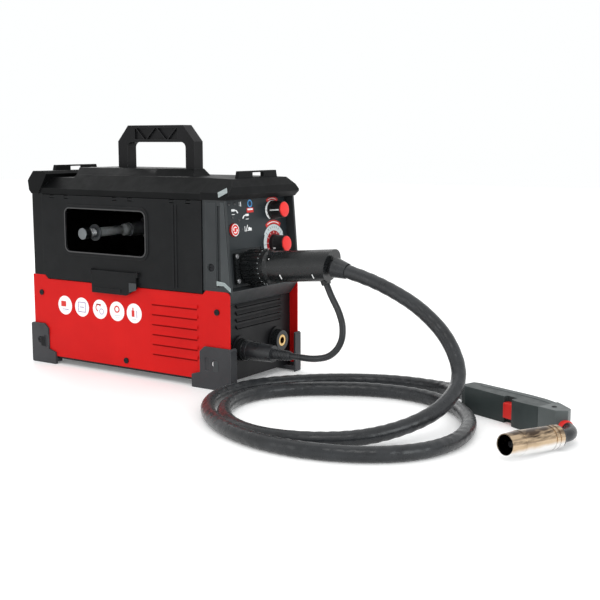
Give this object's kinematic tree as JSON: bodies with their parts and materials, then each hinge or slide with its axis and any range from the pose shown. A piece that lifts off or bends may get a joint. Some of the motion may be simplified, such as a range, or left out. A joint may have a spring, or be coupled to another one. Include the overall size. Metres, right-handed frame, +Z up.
{
  "type": "mig welding machine",
  "caption": "Portable wire-feed inverter welder: steel lower case, plastic wire compartment with windowed door, carrying handle, front controls and a torch on its lead.",
  "frame": {"origin": "middle of the machine's footprint, on the plane its feet stand on", "axes": "+Z up; -Y towards the control panel, torch and sockets; -X towards the windowed door"},
  "size_m": [0.3663, 0.8459, 0.353],
  "materials": {
    "galvanised": "zinc-plated sheet",
    "red_steel": "satin powder coat",
    "black_steel": "satin powder coat",
    "black_plastic": "fine spark-eroded texture",
    "screw_steel": "zinc-plated",
    "clear_pane": "clear moulded plastic",
    "panel_print": "printed film",
    "knob_plastic": "satin moulded",
    "button_red": "printed cap",
    "board_green": "solder mask",
    "brass": "machined",
    "connector_black": "moulded",
    "cable_rubber": "extruded sheath",
    "torch_plastic": "textured grip",
    "trigger_red": "moulded",
    "nozzle_chrome": "polished plate",
    "copper": "drawn copper",
    "grey_plastic": "moulded",
    "bright_steel": "turned",
    "motor_black": "gloss paint",
    "cast_aluminium": "extruded or cast",
    "ferrite": "ferrite core with yellow tape",
    "capacitor_sleeve": "shrink sleeve"
  },
  "bodies": {
    "machine": {"base_pan": "galvanised", "side_cover_left": "red_steel", "side_cover_right": "red_steel", "front_panel": "black_steel", "rear_panel": "black_steel", "corner_feet": "black_plastic", "case_screws": "screw_steel", "spool_housing": "black_plastic", "hinge_pins": "screw_steel", "roof_cover": "black_plastic", "carry_handle": "black_plastic", "front_bezel": "black_plastic", "control_panel": "panel_print", "control_board": "board_green", "euro_flange": "connector_black", "flange_screws": "screw_steel", "euro_socket": "brass", "euro_housing": "connector_black", "cable_boot": "cable_rubber", "output_sockets": "connector_black", "socket_inserts": "brass", "polarity_plug": "cable_rubber", "polarity_lead": "cable_rubber", "torch_cable": "cable_rubber", "torch_handle": "torch_plastic", "torch_neck": "cable_rubber", "neck_ring": "torch_plastic", "gas_nozzle": "nozzle_chrome", "contact_tip": "copper", "spindle_bracket": "grey_plastic", "feeder_plate": "bright_steel", "feed_motor": "motor_black", "main_board": "board_green", "heat_sinks": "cast_aluminium", "transformer": "ferrite", "output_choke": "ferrite", "capacitors": "capacitor_sleeve", "fan_frame": "connector_black", "fan_guard": "screw_steel", "power_switch": "connector_black", "gas_inlet": "brass", "mains_gland": "connector_black"},
    "door": {"spool_door": "black_plastic", "window_pane": "clear_pane"},
    "latch": {"door_latch": "black_plastic"},
    "knob_up": {"knob_upper": "knob_plastic"},
    "knob_low": {"knob_lower": "knob_plastic"},
    "button": {"mode_button": "button_red"},
    "spindle": {"spool_spindle": "bright_steel", "spindle_nut": "bright_steel", "brake_spring": "bright_steel"},
    "feed_roll": {"drive_roll": "bright_steel"},
    "idler": {"pressure_roll": "bright_steel"},
    "arm": {"pressure_arm": "cast_aluminium"},
    "tension": {"tension_knob": "connector_black"},
    "fan": {"fan_impeller": "connector_black"},
    "rocker": {"switch_rocker": "connector_black"},
    "trigger": {"torch_trigger": "trigger_red"},
    "union_nut": {"euro_nut": "connector_black"}
  },
  "joints": [
    {"name": "door_hinge", "type": "hinge", "parent": "machine", "child": "door", "pos_m": [-0.0808, 0, 0.2504], "axis": [0, 1, 0], "range_deg": [0, 110]},
    {"name": "latch_hinge", "type": "hinge", "parent": "door", "child": "latch", "pos_m": [-0.0856, 0.016, 0.1465], "axis": [0, 1, 0], "range_deg": [0, 28]},
    {"name": "upper_knob_turn", "type": "hinge", "parent": "machine", "child": "knob_up", "pos_m": [0.0455, -0.16561, 0.2348], "axis": [0, -0.9965, 0.0837], "range_deg": [-135, 135]},
    {"name": "lower_knob_turn", "type": "hinge", "parent": "machine", "child": "knob_low", "pos_m": [0.0455, -0.16962, 0.1871], "axis": [0, -0.9965, 0.0837], "range_deg": [-135, 135]},
    {"name": "button_push", "type": "slide", "parent": "machine", "child": "button", "axis": [0, 0.9965, -0.0837], "range_m": [0, 0.0018], "stiffness_N_per_m": 400, "springref_m": -0.001},
    {"name": "spindle_spin", "type": "hinge", "parent": "machine", "child": "spindle", "pos_m": [0, 0.088, 0.1975], "axis": [1, 0, 0], "continuous": true},
    {"name": "feed_roll_spin", "type": "hinge", "parent": "machine", "child": "feed_roll", "pos_m": [-0.023, -0.064, 0.1471], "axis": [1, 0, 0], "continuous": true},
    {"name": "arm_lift", "type": "hinge", "parent": "machine", "child": "arm", "pos_m": [-0.023, -0.032, 0.184], "axis": [-1, 0, 0], "range_deg": [0, 50]},
    {"name": "idler_spin", "type": "hinge", "parent": "arm", "child": "idler", "pos_m": [-0.023, -0.064, 0.1699], "axis": [1, 0, 0], "continuous": true},
    {"name": "tension_turn", "type": "hinge", "parent": "arm", "child": "tension", "pos_m": [-0.023, -0.092, 0.2], "axis": [0, 0, 1], "range_deg": [-180, 180]},
    {"name": "fan_spin", "type": "hinge", "parent": "machine", "child": "fan", "pos_m": [-0.03, 0.158, 0.072], "axis": [0, 1, 0], "continuous": true},
    {"name": "rocker_tilt", "type": "hinge", "parent": "machine", "child": "rocker", "pos_m": [0.047, 0.1762, 0.1], "axis": [1, 0, 0], "range_deg": [0, 18]},
    {"name": "trigger_push", "type": "slide", "parent": "machine", "child": "trigger", "axis": [0.9438, -0.3305, 0], "range_m": [0, 0.003], "stiffness_N_per_m": 400, "springref_m": -0.0015},
    {"name": "union_nut_turn", "type": "hinge", "parent": "machine", "child": "union_nut", "pos_m": [-0.023, -0.18676, 0.16226], "axis": [0, -0.9965, 0.0837], "continuous": true}
  ],
  "couplings": [
    {"joint": "idler_spin", "follows": "feed_roll_spin", "ratio": -1}
  ]
}
